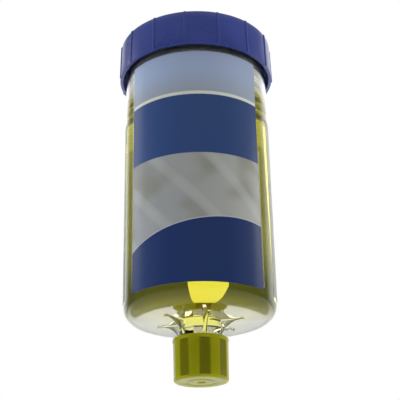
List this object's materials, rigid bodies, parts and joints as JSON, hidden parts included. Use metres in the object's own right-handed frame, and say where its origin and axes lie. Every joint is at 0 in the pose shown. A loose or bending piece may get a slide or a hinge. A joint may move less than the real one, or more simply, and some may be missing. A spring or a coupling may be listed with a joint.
{
  "type": "automatic lubricator",
  "caption": "Single-point automatic oiler: clear cylindrical oil container with a ribbed drive ring on top, a time dial and a capped threaded outlet below.",
  "frame": {"origin": "on the container's axis at the shoulder where the outlet thread starts", "axes": "+Z along the container's axis, up from the outlet to the drive; the middle of the front label faces -Y"},
  "size_m": [0.0533, 0.0533, 0.1178],
  "materials": {
    "clear_barrel": "clear moulded plastic, polished",
    "oil": "clear yellow oil",
    "natural_plastic": "natural moulded plastic, satin",
    "dark_plastic": "near-black moulded plastic, satin",
    "seal_rubber": "black rubber",
    "cell_steel": "nickel-plated steel",
    "board_laminate": "green circuit board",
    "chip_black": "black moulding",
    "contact_metal": "sprung contact metal",
    "blue_plastic": "dark blue moulded plastic",
    "dial_plastic": "pale grey moulded plastic",
    "cap_plastic": "translucent yellow-green plastic",
    "front_print": "printed film in blue and grey fields",
    "rear_print": "plain pale film"
  },
  "bodies": {
    "lubricator": {"container": "clear_barrel", "lubricant": "oil", "drive_housing": "dark_plastic", "housing_seal": "seal_rubber", "gas_cell_1": "cell_steel", "gas_cell_2": "cell_steel", "battery_1": "cell_steel", "battery_2": "cell_steel", "circuit_board": "board_laminate", "control_chip": "chip_black", "cell_contact_1": "contact_metal", "cell_contact_2": "contact_metal", "cell_contact_3": "contact_metal", "cell_contact_4": "contact_metal", "dial_cover": "blue_plastic", "top_ring": "blue_plastic", "front_label": "front_print", "rear_label_right": "rear_print", "rear_label_left": "rear_print"},
    "piston_group": {"piston": "natural_plastic", "piston_seal_lower": "seal_rubber", "piston_seal_upper": "seal_rubber"},
    "dial_group": {"time_dial": "dial_plastic", "dial_seal": "seal_rubber", "dial_clip": "contact_metal", "selector_wiper": "contact_metal"},
    "cap_group": {"outlet_cap": "cap_plastic", "cap_seal": "seal_rubber"}
  },
  "joints": [
    {"name": "time_dial_turn", "type": "hinge", "parent": "lubricator", "child": "dial_group", "pos_m": [0, 0, 0.1], "axis": [0, 0, -1], "range_deg": [0, 330]},
    {"name": "piston_slide", "type": "slide", "parent": "lubricator", "child": "piston_group", "axis": [0, 0, -1], "range_m": [0, 0.07], "deforming": ["lubricant"]},
    {"name": "outlet_cap_off", "type": "slide", "parent": "lubricator", "child": "cap_group", "axis": [0, 0, -1], "range_m": [0, 0.018]}
  ]
}
